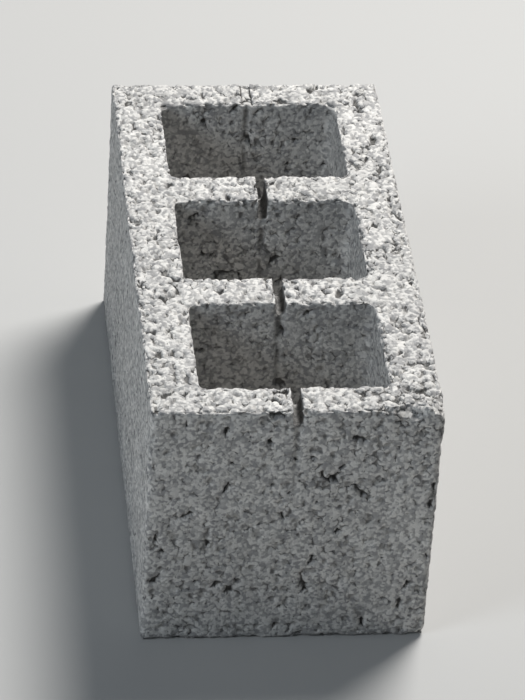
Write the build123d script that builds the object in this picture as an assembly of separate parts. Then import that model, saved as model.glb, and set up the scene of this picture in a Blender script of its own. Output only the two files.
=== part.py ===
"""Hollow concrete block with three cells in a row, standing as it was cast.

The block is one casting, so it is one solid. It was pressed on the yard floor in a steel mould
and stripped upwards: the cores that form the cells hang from one bar along the middle of the
mould, so every cell narrows towards the bottom and the bar leaves a slot across the end walls
and webs.

Frame: the origin is the centre of the bottom bed, +X runs along the length and +Z points up.
All sizes are in millimetres.
"""

import os
from math import radians, tan

from build123d import *

# Overall size
LENGTH = 390.0
WIDTH = 190.0
HEIGHT = 188.0

# Wall thicknesses on the top bed, where the cells are widest
SIDE_SHELL = 34.0
END_WALL = 28.0
WEB = 31.0

# Cells
CELL_COUNT = 3
CELL_DRAFT = 0.6  # degrees that each cell wall leans in on the way down
CELL_CORNER_RADIUS = 4.0

# Edges
CORNER_RADIUS = 3.0  # the four upright corners of the mould
ARRIS_RADIUS = 1.5  # worn edges round both beds and the mouths of the cells

# Slot of the core bar, sunk from the top bed
SLOT_MOUTH = 5.0
SLOT_FLOOR = 3.5
SLOT_DEPTH = 40.0
SLOT_FLOOR_RADIUS = 1.2

# How far each cutting tool runs past the block
OVERCUT = 5.0


def cell_length():
    """Length of one cell on the top bed: what the end walls and webs leave, shared equally."""
    walls = 2 * END_WALL + (CELL_COUNT - 1) * WEB
    return (LENGTH - walls) / CELL_COUNT


def cell_width():
    """Width of one cell on the top bed."""
    return WIDTH - 2 * SIDE_SHELL


def make_blank():
    """The block before its cells, with the mould's rounded upright corners."""
    outline = RectangleRounded(LENGTH, WIDTH, CORNER_RADIUS)
    return extrude(outline, HEIGHT)


def core_section(height):
    """Outline of a core at a height above the bottom bed."""
    lean = 2 * (HEIGHT - height) * tan(radians(CELL_DRAFT))
    section = RectangleRounded(
        cell_length() - lean, cell_width() - lean, CELL_CORNER_RADIUS
    )
    return Pos(0, 0, height) * section


def make_cores():
    """The tapered cores, one for each cell, evenly spaced along the block."""
    core = loft([core_section(-OVERCUT), core_section(HEIGHT + OVERCUT)])
    pitch = cell_length() + WEB
    return [place * core for place in GridLocations(pitch, 0, CELL_COUNT, 1)]


def make_bar():
    """The core bar: a plate on edge, a little thinner below, along the whole block."""
    lean = (SLOT_MOUTH - SLOT_FLOOR) / 2 / SLOT_DEPTH
    half_floor = SLOT_FLOOR / 2
    half_top = SLOT_MOUTH / 2 + lean * OVERCUT
    floor = HEIGHT - SLOT_DEPTH
    top = HEIGHT + OVERCUT
    outline = Polyline(
        (-half_floor, floor), (half_floor, floor), (half_top, top), (-half_top, top), close=True
    )
    section = make_face(outline)
    section = fillet(section.vertices().group_by(Axis.Y)[0], SLOT_FLOOR_RADIUS)
    return extrude(Plane.YZ * section, LENGTH / 2 + OVERCUT, both=True)


def make_block():
    """The finished block."""
    block = make_blank()
    for core in make_cores():
        block -= core
    bed_edges = block.edges().group_by(Axis.Z)
    block = fillet(bed_edges[0] + bed_edges[-1], ARRIS_RADIUS)
    return block - make_bar()


os.makedirs("parts", exist_ok=True)
export_step(make_block(), "parts/concrete_block.step")
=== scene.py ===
"""Dresses a hollow concrete block: its coarse cast surface, its concrete and a plain stage.

The block was pressed from nearly dry concrete and stripped at once, so its surface is made of
grains that touch, with gaps between them. One set of formulas, CastSurface, shapes the mesh and
colours it: each vertex keeps the place where it was cast, and the material reads that place.

All sizes are in metres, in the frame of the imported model. The camera looks at the end at +X.
"""

from math import cos, radians, sin

import bmesh
import bpy
from bpy.props import FloatProperty, FloatVectorProperty, IntProperty, PointerProperty
from mathutils import Matrix, Quaternion, Vector


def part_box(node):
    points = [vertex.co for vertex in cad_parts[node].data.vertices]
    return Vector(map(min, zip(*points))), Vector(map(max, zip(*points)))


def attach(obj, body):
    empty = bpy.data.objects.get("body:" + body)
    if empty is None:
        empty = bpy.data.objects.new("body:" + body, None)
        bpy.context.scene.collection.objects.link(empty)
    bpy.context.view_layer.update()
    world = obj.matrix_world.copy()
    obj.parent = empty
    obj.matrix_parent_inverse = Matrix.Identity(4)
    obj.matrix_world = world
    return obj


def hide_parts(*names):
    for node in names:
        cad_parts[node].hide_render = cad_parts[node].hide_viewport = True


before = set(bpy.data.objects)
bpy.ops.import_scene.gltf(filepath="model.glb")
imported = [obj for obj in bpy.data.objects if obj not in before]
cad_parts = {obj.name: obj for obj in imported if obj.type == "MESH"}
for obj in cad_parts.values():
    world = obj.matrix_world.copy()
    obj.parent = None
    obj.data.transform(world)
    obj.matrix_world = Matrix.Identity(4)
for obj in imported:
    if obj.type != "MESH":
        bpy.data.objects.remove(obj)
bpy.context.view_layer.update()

bl_info = {
    "name": "Hollow concrete block",
    "version": (1, 0, 0),
    "blender": (4, 5, 0),
    "location": "3D View > Sidebar > Block",
    "description": "Gives a cast block its coarse concrete surface and sets it on a stage",
    "category": "Object",
}

NODE = "concrete_block"
LOW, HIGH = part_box(NODE)
MIDDLE = (LOW + HIGH) / 2
LENGTH = HIGH.x - LOW.x
WIDTH = HIGH.y - LOW.y
HEIGHT = HIGH.z - LOW.z

# Walls on the top bed
SIDE_SHELL = 0.034
END_WALL = 0.028
WEB = 0.031
CELL_COUNT = 3
CELL_LENGTH = (LENGTH - 2 * END_WALL - (CELL_COUNT - 1) * WEB) / CELL_COUNT

# Where the outer faces, the cells' back walls and the middles of the webs stand
NEAR_END = LENGTH / 2
FAR_END = -LENGTH / 2
FRONT = -WIDTH / 2
BACK = WIDTH / 2
CELL_BACK = BACK - SIDE_SHELL
WEB_MIDDLE = (CELL_LENGTH + WEB) / 2

# Slot of the core bar, sunk from the top bed
SLOT_WIDTH = 0.005
SLOT_DEPTH = 0.040

# Walls that the slot crosses. Loose concrete fell back behind the bar, and left a notch open in
# each of them: the wall's middle and thickness, and the depth of its notch
WALLS = (
    (FAR_END + END_WALL / 2, END_WALL, 0.0012),
    (-WEB_MIDDLE, WEB, 0.017),
    (WEB_MIDDLE, WEB, 0.011),
    (NEAR_END - END_WALL / 2, END_WALL, 0.012),
)

# Chips out of the arrises of the top bed. Each is the bite of a ball that stands mostly outside
# the concrete: the ball's middle and radius
CHIPS = (
    # the back corner of the near end, broken off at a slant, and the bites beside it
    ((NEAR_END + 0.001, BACK + 0.014, HEIGHT + 0.019), 0.0300),
    ((NEAR_END + 0.006, BACK - 0.023, HEIGHT + 0.004), 0.0140),
    ((NEAR_END + 0.006, BACK - 0.036, HEIGHT + 0.004), 0.0100),
    # a small chip in the same arris, and the flared mouth of the slot
    ((NEAR_END + 0.003, FRONT + 0.038, HEIGHT + 0.003), 0.0068),
    ((NEAR_END + 0.003, 0.006, HEIGHT + 0.003), 0.0068),
    # the outer arris of the front shell
    ((NEAR_END - 0.058, FRONT - 0.003, HEIGHT + 0.003), 0.0068),
    # the mouths of the cells, and of the slot in the far web
    ((0.100, CELL_BACK - 0.002, HEIGHT + 0.003), 0.0066),
    ((0.134, CELL_BACK - 0.002, HEIGHT + 0.003), 0.0060),
    ((0.038, CELL_BACK - 0.002, HEIGHT + 0.003), 0.0066),
    ((-WEB_MIDDLE - WEB / 2 - 0.002, 0.008, HEIGHT + 0.003), 0.0064),
)

# How far a chip's broken skin strays from its ball, to each side
RAGGEDNESS = 0.0037

# The concrete is more open round this corner
OPEN_CORNER = (NEAR_END, BACK, HEIGHT)

# How deep under a bed its own finish is whole, and where the finish of the sides takes over
BED_SKIN = 0.0008
BED_FADE = 0.0025

# Corners of the CAD mesh that are nearer than this are one corner
TOUCHING = 1e-5

# How often the mesh is averaged to find the place inside an arris that it crumbles towards
BLUR_STEPS = 26

# Mesh attribute that holds where a vertex was before the relief moved it
CAST_PLACE = "cast_place"

# Lights: place from the block's middle, width and colour
KEY_LIGHT = (Vector((-1.1, 0.85, 2.5)), 1.1, (1.0, 0.98, 0.955))
FILL_LIGHT = (Vector((1.0, -2.0, 1.3)), 1.0, (0.84, 0.92, 1.0))
SKY_COLOUR = (0.80, 0.90, 1.0, 1.0)
FLOOR_ROUGHNESS = 0.9

# Long side of the camera's frame, in millimetres
FRAME_SIZE = 36.0


class ReliefSettings(bpy.types.PropertyGroup):
    """Sizes of the cast surface."""

    mesh_step: FloatProperty(
        name="Mesh step",
        description="Spacing of the mesh before it is thinned",
        default=0.001,
        min=0.0005,
        unit="LENGTH",
    )
    triangles: IntProperty(
        name="Triangles",
        description="How many triangles the finished block has",
        default=196000,
        min=20000,
    )
    gravel_size: FloatProperty(
        name="Gravel size",
        description="Distance between the largest grains",
        default=0.0075,
        unit="LENGTH",
    )
    gravel_height: FloatProperty(
        name="Gravel height",
        description="How far the largest grains stand out of the crevices round them",
        default=0.0008,
        unit="LENGTH",
    )
    gravel_step: FloatProperty(
        name="Gravel step",
        description="How far the deepest of the largest grains lie behind the mould's face",
        default=0.0007,
        unit="LENGTH",
    )
    grain_size: FloatProperty(
        name="Grain size",
        description="Distance between the coarse grains of sand",
        default=0.0038,
        unit="LENGTH",
    )
    grain_height: FloatProperty(
        name="Grain height",
        description="How far a grain of sand stands out of the crevice round it",
        default=0.0008,
        unit="LENGTH",
    )
    grain_step: FloatProperty(
        name="Grain step",
        description="How far the deepest grains of sand lie behind the mould's face",
        default=0.0004,
        unit="LENGTH",
    )
    sand_size: FloatProperty(
        name="Sand size",
        description="Distance between the fine grains, which only the material shows",
        default=0.0021,
        unit="LENGTH",
    )
    fallen_share: FloatProperty(
        name="Fallen grains",
        description="Share of the coarse grains of sand that have fallen out",
        default=0.08,
        subtype="FACTOR",
    )
    fallen_depth: FloatProperty(
        name="Fallen grain depth",
        description="Depth of the hollow that a grain of sand leaves when it falls out",
        default=0.0020,
        unit="LENGTH",
    )
    gap_depth: FloatProperty(
        name="Gap depth",
        description="Depth of a gap between grains",
        default=0.0030,
        unit="LENGTH",
    )
    waviness: FloatProperty(
        name="Waviness",
        description="How far the faces are out of flat",
        default=0.0004,
        unit="LENGTH",
    )
    drag_depth: FloatProperty(
        name="Drag depth",
        description="Depth of the upright marks that the mould leaves as it is stripped",
        default=0.0004,
        unit="LENGTH",
    )
    crumbling: FloatProperty(
        name="Crumbling",
        description="How far loose arrises have crumbled away, as a share of their roundness",
        default=1.5,
        subtype="FACTOR",
    )


class ConcreteSettings(bpy.types.PropertyGroup):
    """Colours of the concrete, and the colour of the painted shade in its hollows."""

    paste: FloatVectorProperty(
        name="Paste",
        description="Dry cement paste on the grains",
        default=(0.595, 0.585, 0.56),
        subtype="COLOR",
    )
    pale_stone: FloatVectorProperty(
        name="Pale stone",
        description="Palest grains of the sand",
        default=(0.72, 0.71, 0.685),
        subtype="COLOR",
    )
    dark_stone: FloatVectorProperty(
        name="Dark stone",
        description="Darkest grains of the sand",
        default=(0.27, 0.27, 0.275),
        subtype="COLOR",
    )
    # Painted shade: the near-black that gaps, crevices, the hollows of fallen grains and the slot
    # notches are darkened towards, standing in for the shade that falls in them
    gap: FloatVectorProperty(
        name="Gap",
        description="Paste down in the gaps, where little light reaches",
        default=(0.060, 0.058, 0.055),
        subtype="COLOR",
    )
    roughness: FloatProperty(
        name="Roughness",
        description="Roughness of dry concrete",
        default=0.92,
        subtype="FACTOR",
    )


class StageSettings(bpy.types.PropertyGroup):
    """Floor, lights and camera."""

    floor_colour: FloatVectorProperty(
        name="Floor",
        description="Colour of the floor",
        default=(0.50, 0.50, 0.492),
        subtype="COLOR",
    )
    floor_reach: FloatProperty(
        name="Floor reach",
        description="How far the floor runs from the block",
        default=12.0,
        unit="LENGTH",
    )
    key_power: FloatProperty(
        name="Key light",
        description="Power of the large light above the far end of the block",
        default=110.0,
        unit="POWER",
    )
    fill_power: FloatProperty(
        name="Fill light",
        description="Power of the cool light on the near end and the front",
        default=18.0,
        unit="POWER",
    )
    sky_level: FloatProperty(
        name="Sky",
        description="Strength of the even light from all round",
        default=0.08,
    )
    azimuth: FloatProperty(
        name="Azimuth",
        description="Direction of the camera round the block",
        default=radians(82.27),
        subtype="ANGLE",
    )
    elevation: FloatProperty(
        name="Elevation",
        description="Height of the camera over the horizon",
        default=radians(35.86),
        subtype="ANGLE",
    )
    roll: FloatProperty(
        name="Roll",
        description="How far the camera is tipped to its side",
        default=radians(3.92),
        subtype="ANGLE",
    )
    distance: FloatProperty(
        name="Distance",
        description="Distance from the camera to the middle of the block",
        default=2.751,
        unit="LENGTH",
    )
    lens: FloatProperty(
        name="Lens",
        description="Focal length on a frame whose long side is 36 mm",
        default=206.0,
    )


class Number:
    """A number socket. Python's operators on it add the Math nodes of the expression."""

    def __init__(self, graph, socket):
        self.graph = graph
        self.socket = socket

    def __add__(self, other):
        return self.graph.math("ADD", self, other)

    __radd__ = __add__

    def __sub__(self, other):
        return self.graph.math("SUBTRACT", self, other)

    def __rsub__(self, other):
        return self.graph.math("SUBTRACT", other, self)

    def __mul__(self, other):
        return self.graph.math("MULTIPLY", self, other)

    __rmul__ = __mul__

    def __neg__(self):
        return self * -1.0

    def __abs__(self):
        return self.graph.math("ABSOLUTE", self)


class Graph:
    """Adds nodes to a tree. Numbers come back as Number, colours and vectors as sockets."""

    def __init__(self, tree):
        self.tree = tree

    def node(self, kind, settings=None, sockets=None):
        """Adds a node. A socket is named or numbered, and takes a value or another socket."""
        made = self.tree.nodes.new(kind)
        for name, value in (settings or {}).items():
            setattr(made, name, value)
        for name, value in (sockets or {}).items():
            socket = made.inputs[name]
            value = value.socket if isinstance(value, Number) else value
            if isinstance(value, bpy.types.NodeSocket):
                self.tree.links.new(value, socket)
            else:
                socket.default_value = value
        return made

    def number(self, made, output=0):
        """One output of a node, as a number."""
        return Number(self, made.outputs[output])

    def math(self, operation, first, second=0.0):
        """A Math node on one or two numbers."""
        made = self.node("ShaderNodeMath", {"operation": operation}, {0: first, 1: second})
        return self.number(made)

    def largest(self, first, *others):
        """The largest of some numbers."""
        for other in others:
            first = self.math("MAXIMUM", first, other)
        return first

    def ramp(self, value, start, end):
        """Eases from 0 to 1 while the value goes from start to end."""
        made = self.node(
            "ShaderNodeMapRange",
            {"interpolation_type": "SMOOTHSTEP"},
            {"Value": value, "From Min": start, "From Max": end, "To Min": 0.0, "To Max": 1.0},
        )
        return self.number(made)

    def vector(self, operation, *vectors, scale=None):
        """A Vector Math node that gives a vector."""
        sockets = dict(enumerate(vectors))
        if scale is not None:
            sockets["Scale"] = scale
        made = self.node("ShaderNodeVectorMath", {"operation": operation}, sockets)
        return made.outputs["Vector"]

    def length(self, vector):
        """The length of a vector."""
        made = self.node("ShaderNodeVectorMath", {"operation": "LENGTH"}, {"Vector": vector})
        return self.number(made, "Value")

    def parts(self, vector):
        """The three parts of a vector or a colour, as numbers."""
        split = self.node("ShaderNodeSeparateXYZ", sockets={"Vector": vector})
        return [self.number(split, axis) for axis in "XYZ"]

    def noise_node(self, place, size, detail, roughness=0.5):
        """Smooth noise with features about that size."""
        sockets = {"Vector": place, "Scale": 1 / size, "Detail": detail, "Roughness": roughness}
        return self.node("ShaderNodeTexNoise", sockets=sockets)

    def noise(self, place, size, detail, roughness=0.5):
        """Smooth noise as a number from 0 to 1."""
        return self.number(self.noise_node(place, size, detail, roughness))

    def stray(self, place, size, detail, reach, roughness=0.5):
        """Smooth noise as a number from -reach to reach."""
        return self.noise(place, size, detail, roughness) * (2 * reach) - reach

    def wander(self, place, size, reach):
        """The place, moved about by smooth noise, up to the reach each way."""
        noise = self.noise_node(place, size, detail=1.0)
        shift = self.vector("SUBTRACT", noise.outputs["Color"], (0.5, 0.5, 0.5))
        return self.vector("MULTIPLY_ADD", shift, (2 * reach, 2 * reach, 2 * reach), place)

    def mix(self, share, first, second, blend="MIX"):
        """Mixes two colours."""
        return self.node(
            "ShaderNodeMix",
            {"data_type": "RGBA", "blend_type": blend},
            {"Factor": share, "A": first, "B": second},
        ).outputs["Result"]


class Grains:
    """Grains of one size, packed so that they touch."""

    def __init__(self, graph, place, size):
        # The borders wander a little, so that no grain has straight sides
        place = graph.wander(place, size=1.2 * size, reach=0.36 * size)
        sockets = {"Vector": place, "Scale": 1 / size}
        packed = graph.node("ShaderNodeTexVoronoi", sockets=sockets)
        # 0 in the middle of a grain, and near 1 where several grains meet
        self.rim = graph.number(packed, "Distance")
        # Three chance numbers from 0 to 1 for each grain
        self.shade, self.level, self.looseness = graph.parts(packed.outputs["Color"])


class CastSurface:
    """The relief of the cast surface as fields of the place, the same in every tree."""

    def __init__(self, graph, place, relief):
        g = self.graph = graph
        self.place = place
        self.relief = relief
        self.x, self.y, self.z = g.parts(place)

        # 1 on the top bed, which the press levels, on the bottom bed, which the floor does, and
        # on the upright faces, which the mould and its cores slide along
        self.top = g.ramp(self.z, HEIGHT - BED_FADE, HEIGHT - BED_SKIN)
        self.bottom = g.ramp(self.z, BED_FADE, BED_SKIN)
        self.side = 1.0 - g.largest(self.top, self.bottom)

        # Upright drag marks
        stretched = g.vector("MULTIPLY", place, (1.0, 1.0, 0.05))
        self.drag = g.noise(stretched, size=0.0045, detail=3.0, roughness=0.6) * self.side

        # All three press the grains flush, and the mould also rubs their tops flat
        rough = self.rough = 1.0 - self.top * 0.3 - self.side * 0.5 - self.bottom * 0.6
        flat = self.side * 0.22

        self.gravel = Grains(g, place, relief.gravel_size)
        self.grain = Grains(g, place, relief.grain_size)
        self.coarse = g.ramp(self.gravel.rim, flat + 0.50, 0.98) * rough * relief.gravel_height
        self.fine = g.ramp(self.grain.rim, flat + 0.35, 0.95) * rough * relief.grain_height

        opening = self.opening()
        self.wide_gap = g.ramp(self.gravel.rim + opening, 0.88, 0.98)
        self.fine_gap = g.ramp(self.grain.rim + opening, 0.80, 0.92) * 0.7
        self.fallen = self.fallen_grains(opening)
        self.seam = g.largest(self.seam_below_slot(), self.seams_beside_fill())

    def opening(self):
        """How much wider than usual the gaps are, as a share of a grain's size."""
        g = self.graph
        patch = g.ramp(g.noise(self.place, size=0.045, detail=2.0), 0.32, 0.68)
        pocket = g.ramp(g.noise(self.place, size=0.016, detail=1.0), 0.62, 0.76)
        from_corner = g.length(g.vector("SUBTRACT", self.place, OPEN_CORNER))
        return (
            patch * 0.08
            + pocket * 0.16
            + g.ramp(from_corner, 0.110, 0.020) * 0.09
            + self.top * 0.02
            - self.bottom * 0.08
            - self.drag * 0.06
        )

    def fallen_grains(self, opening):
        """Round hollows where a grain has fallen out, most of them where the gaps are wide."""
        edge = 1.0 - self.relief.fallen_share
        bowl = 1.0 - self.grain.rim * self.grain.rim * 0.8
        return self.graph.ramp(self.grain.looseness + opening * 0.5, edge, edge + 0.02) * bowl

    def bar_wobble(self):
        """How far the bar's marks stray to the side, in metres."""
        return self.graph.stray(self.place, size=0.014, detail=3.0, reach=0.002)

    def seam_below_slot(self):
        """A broken upright line below the slot, fainter on the outer faces than in the cells."""
        g = self.graph
        line = g.ramp(abs(self.y + self.bar_wobble()), 0.0024, 0.0006)
        near_slot = g.ramp(self.z, 0.085, 0.135) * self.side
        broken = g.ramp(g.noise(self.place, size=0.009, detail=1.0), 0.30, 0.50)
        outside = g.ramp(abs(self.x), NEAR_END - END_WALL / 2, NEAR_END - 0.006)
        return line * near_slot * broken * (0.5 - outside * 0.3)

    def seams_beside_fill(self):
        """Hairlines on the far end wall, one each side of the loose concrete in the slot."""
        g = self.graph
        off_side = abs(abs(self.y + self.bar_wobble() * 0.4) - SLOT_WIDTH / 2)
        inner_face = FAR_END + END_WALL
        on_wall = g.ramp(self.x, inner_face + 0.002, inner_face - 0.001) * self.top
        return g.ramp(off_side, 0.0011, 0.0004) * on_wall

    def painted_notch_shade(self):
        """1 on the walls and floors of the notches that the core bar left open, which the
        material darkens as painted shade.
        """
        inside = sum(self.notched_wall(*wall) for wall in WALLS)
        between = self.graph.ramp(abs(self.y), SLOT_WIDTH / 2 + 0.0008, SLOT_WIDTH / 2)
        return inside * between * (1.0 - self.top)

    def notched_wall(self, middle, thickness, depth):
        """1 in one wall, from the top bed down to the floor of its notch."""
        g = self.graph
        inside = g.ramp(abs(self.x - middle), thickness / 2, thickness / 2 - 0.002)
        return inside * g.ramp(self.z, HEIGHT - depth - 0.002, HEIGHT - depth + 0.001)

    def sunk(self):
        """How far the surface lies behind the mould's face, in metres."""
        relief = self.relief
        # The mould smears the small grains of the sides flat between the large ones, so that
        # there they show in the bump more than in the mesh
        kept = 1.0 - self.side * 0.65
        steps = (
            self.gravel.level * relief.gravel_step
            + self.grain.level * kept * relief.grain_step
        )
        gap = self.graph.largest(self.wide_gap, self.fine_gap * kept, self.seam)
        return (
            self.coarse
            + self.fine * kept
            + self.rough * steps
            + self.fallen * (1.0 - self.side * 0.35) * relief.fallen_depth
            + gap * relief.gap_depth
            + self.graph.noise(self.place, size=0.07, detail=1.0) * relief.waviness
            + self.drag * relief.drag_depth
        )


def copy_of_node(name):
    """A bmesh of a CAD node, with its loose triangles merged."""
    shape = bmesh.new()
    shape.from_mesh(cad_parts[name].data)
    bmesh.ops.remove_doubles(shape, verts=shape.verts, dist=TOUCHING)
    return shape


def add_fallen_concrete(shape):
    """Fills the slot in each wall, up to the notch that is left open."""
    recess = 0.0005  # behind the wall's faces
    bite = 0.001  # into each side of the slot
    footing = 0.003  # below the slot's floor
    low = HEIGHT - SLOT_DEPTH - footing
    for middle, thickness, notch in WALLS:
        high = HEIGHT - notch
        size = Vector((thickness - 2 * recess, SLOT_WIDTH + 2 * bite, high - low))
        place = Vector((middle, 0.0, (low + high) / 2))
        bmesh.ops.create_cube(shape, size=1.0, matrix=Matrix.LocRotScale(place, None, size))


def add_object(context, name, shape):
    """Puts a bmesh in the scene as an object, and frees the bmesh."""
    mesh = bpy.data.meshes.new(name)
    shape.to_mesh(mesh)
    shape.free()
    added = bpy.data.objects.new(name, mesh)
    context.scene.collection.objects.link(added)
    return added


def relief_tree(relief):
    """Geometry nodes that chip and crumble the arrises, and sink the surface round its grains."""
    tree = bpy.data.node_groups.new("cast relief", "GeometryNodeTree")
    for way in ("INPUT", "OUTPUT"):
        tree.interface.new_socket("Geometry", in_out=way, socket_type="NodeSocketGeometry")
    g = Graph(tree)
    clean = g.node("NodeGroupInput").outputs["Geometry"]
    place = g.node("GeometryNodeInputPosition").outputs["Position"]
    chipped = moved_to(g, clean, scooped(g, place))
    marked = g.node(
        "GeometryNodeStoreNamedAttribute",
        {"data_type": "FLOAT_VECTOR", "domain": "POINT"},
        {"Geometry": chipped, "Name": CAST_PLACE, "Value": place},
    ).outputs["Geometry"]

    surface = CastSurface(g, place, relief)
    normal = g.node("GeometryNodeInputNormal").outputs["Normal"]
    inwards = g.vector("SCALE", normal, scale=-surface.sunk())
    cast = g.vector("ADD", place, g.vector("ADD", crumbled(g, surface), inwards))
    # Nothing that was pressed in the mould stands out of it
    cast = g.vector("MINIMUM", g.vector("MAXIMUM", cast, LOW), HIGH)
    g.node("NodeGroupOutput", sockets={"Geometry": moved_to(g, marked, cast)})
    return tree


def moved_to(g, geometry, place):
    """The geometry with each vertex moved to the place."""
    sockets = {"Geometry": geometry, "Position": place}
    return g.node("GeometryNodeSetPosition", sockets=sockets).outputs["Geometry"]


def scooped(g, place):
    """The place, moved out to the ragged skin of any ball of CHIPS that it lies in."""
    ragged = g.stray(place, size=0.0045, detail=3.0, reach=RAGGEDNESS, roughness=0.6)
    for middle, radius in CHIPS:
        away = g.vector("SUBTRACT", place, middle)
        push = g.largest(ragged + radius - g.length(away), 0.0)
        place = g.vector("ADD", place, g.vector("SCALE", g.vector("NORMALIZE", away), scale=push))
    return place


def crumbled(g, surface):
    """The way from a sharp arris towards its blurred place, where the concrete is loose.

    It is loose in stretches and grain by grain, more at the mouths of the cells, and less beside
    the slot, where the bar held it.
    """
    blurred = g.node(
        "GeometryNodeBlurAttribute",
        {"data_type": "FLOAT_VECTOR"},
        {"Value": surface.place, "Iterations": BLUR_STEPS},
    ).outputs["Value"]
    stretches = g.ramp(g.noise(surface.place, size=0.011, detail=3.0, roughness=0.6), 0.42, 0.70)
    grains = g.ramp(surface.grain.looseness, 0.60, 0.70)
    mouths = (
        g.ramp(abs(surface.x), NEAR_END - 0.012, NEAR_END - 0.020)
        * g.ramp(abs(surface.y), BACK - 0.012, BACK - 0.020)
        * g.ramp(surface.z, HEIGHT * 0.5, HEIGHT * 0.8)
    )
    beside_slot = g.ramp(abs(surface.y), 0.009, 0.005)
    loose = (stretches + grains * 0.35) * (1.0 + mouths * 0.5 - beside_slot * 0.6)
    back = g.vector("SUBTRACT", blurred, surface.place)
    return g.vector("SCALE", back, scale=loose * surface.relief.crumbling)


def apply_modifiers(piece):
    """Swaps a piece's mesh for the one that its modifiers make, and returns the new one."""
    before = piece.data
    view = bpy.context.evaluated_depsgraph_get()
    made = bpy.data.meshes.new_from_object(piece.evaluated_get(view))
    piece.modifiers.clear()
    piece.data = made
    bpy.data.meshes.remove(before)
    made.name = piece.name
    return made


def new_material(name):
    """An empty material, and the graph that its nodes go in."""
    material = bpy.data.materials.new(name)
    material.use_nodes = True
    material.node_tree.nodes.clear()
    return material, Graph(material.node_tree)


def concrete_material(relief, concrete):
    """Dry-cast concrete: paste over grains of sand, with painted shade in the gaps."""
    material, g = new_material("dry cast concrete")
    place = g.node("ShaderNodeAttribute", {"attribute_name": CAST_PLACE}).outputs["Vector"]
    surface = CastSurface(g, place, relief)
    sand = Grains(g, place, relief.sand_size)
    dust = g.noise(place, size=0.0012, detail=2.0)
    gap = g.largest(surface.wide_gap, surface.fine_gap)

    # Relief that is finer than the mesh, in metres
    height = (
        sand.rim * (surface.side * 0.00012 - 0.00025)
        + dust * 0.00015
        - surface.coarse * 0.3
        - surface.fine * 0.6
        - gap * 0.0008
        + surface.drag * 0.0004
    )
    bump = g.node("ShaderNodeBump", sockets={"Strength": 1.0, "Distance": 1.0, "Height": height})
    shader = g.node(
        "ShaderNodeBsdfPrincipled",
        sockets={
            "Base Color": concrete_colour(g, surface, sand, dust, gap, concrete),
            "Roughness": concrete.roughness,
            "Specular IOR Level": 0.3,
            "Normal": bump.outputs["Normal"],
        },
    )
    g.node("ShaderNodeOutputMaterial", sockets={"Surface": shader.outputs["BSDF"]})
    return material


def concrete_colour(g, surface, sand, dust, gap, concrete):
    """Stones that show through the paste, in a patchy tone, with painted shade in every hollow.
    """
    colour = (*concrete.paste, 1.0)
    pale = (*concrete.pale_stone, 1.0)
    dark = (*concrete.dark_stone, 1.0)
    for grains, share in ((surface.gravel, 0.25), (surface.grain, 0.62), (sand, 0.62)):
        stone = g.mix(g.ramp(grains.shade, 0.25, 0.75), dark, pale)
        colour = g.mix(share, colour, stone)

    cloud = g.noise(surface.place, size=0.035, detail=4.0, roughness=0.6)
    tone = 0.74 + cloud * 0.40 + dust * 0.12
    grey = g.node("ShaderNodeCombineXYZ", sockets={"X": tone, "Y": tone, "Z": tone})
    colour = g.mix(1.0, colour, grey.outputs["Vector"], "MULTIPLY")

    # Painted shade: the slot notches, the gaps, the hollows of fallen grains and the crevices
    # between grains are darkened towards the gap colour, where shade falls; the seams are dark
    # hairlines of their own
    shade = g.largest(
        surface.painted_notch_shade() * 0.75,
        gap * 0.85,
        surface.seam,
        surface.fallen * 0.45,
        g.ramp(surface.grain.rim, 0.60, 0.95) * 0.35,
        g.ramp(surface.gravel.rim, 0.75, 0.98) * 0.30,
    )
    return g.mix(shade, colour, (*concrete.gap, 1.0))


class BLOCK_OT_casting(bpy.types.Operator):
    """Makes the cast block with its grains, gaps, drag marks and crumbled arrises"""

    bl_idname = "block.casting"
    bl_label = "Cast block"

    def execute(self, context):
        relief = context.scene.block_relief
        shape = copy_of_node(NODE)
        add_fallen_concrete(shape)
        piece = add_object(context, "cast_block", shape)

        even = piece.modifiers.new("even mesh", "REMESH")
        even.mode = "VOXEL"
        even.voxel_size = relief.mesh_step
        shaped = piece.modifiers.new("relief", "NODES")
        shaped.node_group = relief_tree(relief)
        mesh = apply_modifiers(piece)

        triangles = sum(len(face.vertices) - 2 for face in mesh.polygons)
        thinned = piece.modifiers.new("thinned", "DECIMATE")
        thinned.ratio = min(1.0, relief.triangles / triangles)
        thinned.use_collapse_triangulate = True
        mesh = apply_modifiers(piece)
        mesh.shade_smooth()
        mesh.materials.append(concrete_material(relief, context.scene.block_concrete))

        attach(piece, "root")
        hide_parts(NODE)
        return {"FINISHED"}


class BLOCK_OT_stage(bpy.types.Operator):
    """Makes the floor, the lights and the camera"""

    bl_idname = "block.stage"
    bl_label = "Stage"

    def execute(self, context):
        stage = context.scene.block_stage
        add_floor(context, stage)
        add_light(context, "key", stage.key_power, *KEY_LIGHT)
        add_light(context, "fill", stage.fill_power, *FILL_LIGHT)
        add_sky(context, stage)
        add_camera(context, stage)
        context.scene.view_settings.view_transform = "Standard"
        return {"FINISHED"}


def add_floor(context, stage):
    """Lays a plain matt floor under the block."""
    shape = bmesh.new()
    bmesh.ops.create_grid(shape, x_segments=1, y_segments=1, size=stage.floor_reach)
    floor = add_object(context, "floor", shape)
    material, g = new_material("pale floor")
    shader = g.node(
        "ShaderNodeBsdfPrincipled",
        sockets={"Base Color": (*stage.floor_colour, 1.0), "Roughness": FLOOR_ROUGHNESS},
    )
    g.node("ShaderNodeOutputMaterial", sockets={"Surface": shader.outputs["BSDF"]})
    floor.data.materials.append(material)


def add_light(context, name, power, offset, width, colour):
    """Hangs a round soft light that faces the middle of the block."""
    light = bpy.data.lights.new(name, "AREA")
    light.shape = "DISK"
    light.size = width
    light.energy = power
    light.color = colour
    lamp = bpy.data.objects.new(name, light)
    lamp.location = MIDDLE + offset
    lamp.rotation_euler = (-offset).to_track_quat("-Z", "Y").to_euler()
    context.scene.collection.objects.link(lamp)


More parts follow.
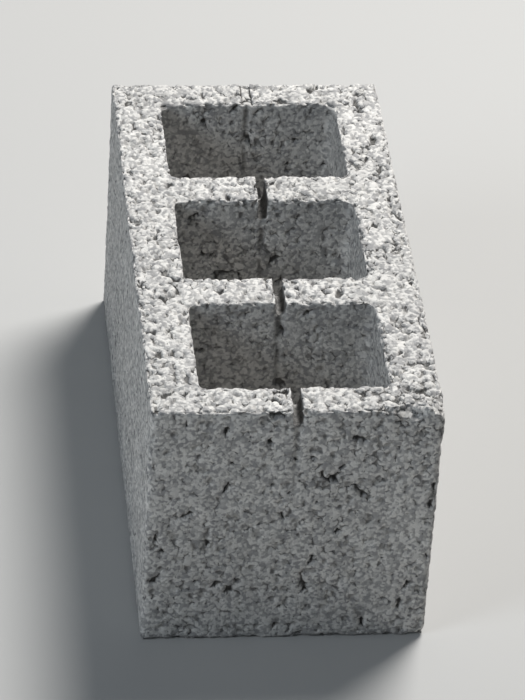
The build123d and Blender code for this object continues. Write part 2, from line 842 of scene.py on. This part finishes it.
def add_sky(context, stage):
    """Lights the block faintly from all round."""
    world = bpy.data.worlds.new("studio")
    world.use_nodes = True
    world.node_tree.nodes.clear()
    g = Graph(world.node_tree)
    sky = g.node(
        "ShaderNodeBackground", sockets={"Color": SKY_COLOUR, "Strength": stage.sky_level}
    )
    g.node("ShaderNodeOutputWorld", sockets={"Surface": sky.outputs["Background"]})
    context.scene.world = world


def add_camera(context, stage):
    """Sets the camera where it sees the block as the photograph does."""
    data = bpy.data.cameras.new("camera")
    data.sensor_width = FRAME_SIZE
    data.lens = stage.lens
    camera = bpy.data.objects.new("camera", data)
    context.scene.collection.objects.link(camera)
    level = cos(stage.elevation)
    to_camera = Vector(
        (sin(stage.azimuth) * level, -cos(stage.azimuth) * level, sin(stage.elevation))
    )
    camera.location = MIDDLE + to_camera * stage.distance
    camera.rotation_mode = "QUATERNION"
    unrolled = (-to_camera).to_track_quat("-Z", "Y")
    camera.rotation_quaternion = unrolled @ Quaternion((0.0, 0.0, 1.0), stage.roll)
    context.scene.camera = camera


class BLOCK_PT_panel(bpy.types.Panel):
    """Lists the settings of the block and the steps that dress it"""

    bl_idname = "BLOCK_PT_panel"
    bl_label = "Concrete block"
    bl_space_type = "VIEW_3D"
    bl_region_type = "UI"
    bl_category = "Block"

    def draw(self, context):
        for group in SETTINGS:
            box = self.layout.box()
            settings = getattr(context.scene, group)
            for name in settings.__annotations__:
                box.prop(settings, name)
        for step in STEPS:
            self.layout.operator(step.bl_idname)


SETTINGS = {
    "block_relief": ReliefSettings,
    "block_concrete": ConcreteSettings,
    "block_stage": StageSettings,
}
STEPS = (BLOCK_OT_casting, BLOCK_OT_stage)
CLASSES = (*SETTINGS.values(), *STEPS, BLOCK_PT_panel)


def register():
    """Adds the classes to Blender, and the settings to its scenes."""
    for made in CLASSES:
        bpy.utils.register_class(made)
    for name, group in SETTINGS.items():
        setattr(bpy.types.Scene, name, PointerProperty(type=group))


def unregister():
    """Takes the settings and the classes away again."""
    for name in SETTINGS:
        delattr(bpy.types.Scene, name)
    for made in reversed(CLASSES):
        bpy.utils.unregister_class(made)


def main():
    """Registers the classes, dresses the block and sets up its stage."""
    register()
    bpy.ops.block.casting()
    bpy.ops.block.stage()


if __name__ == "__main__":
    main()
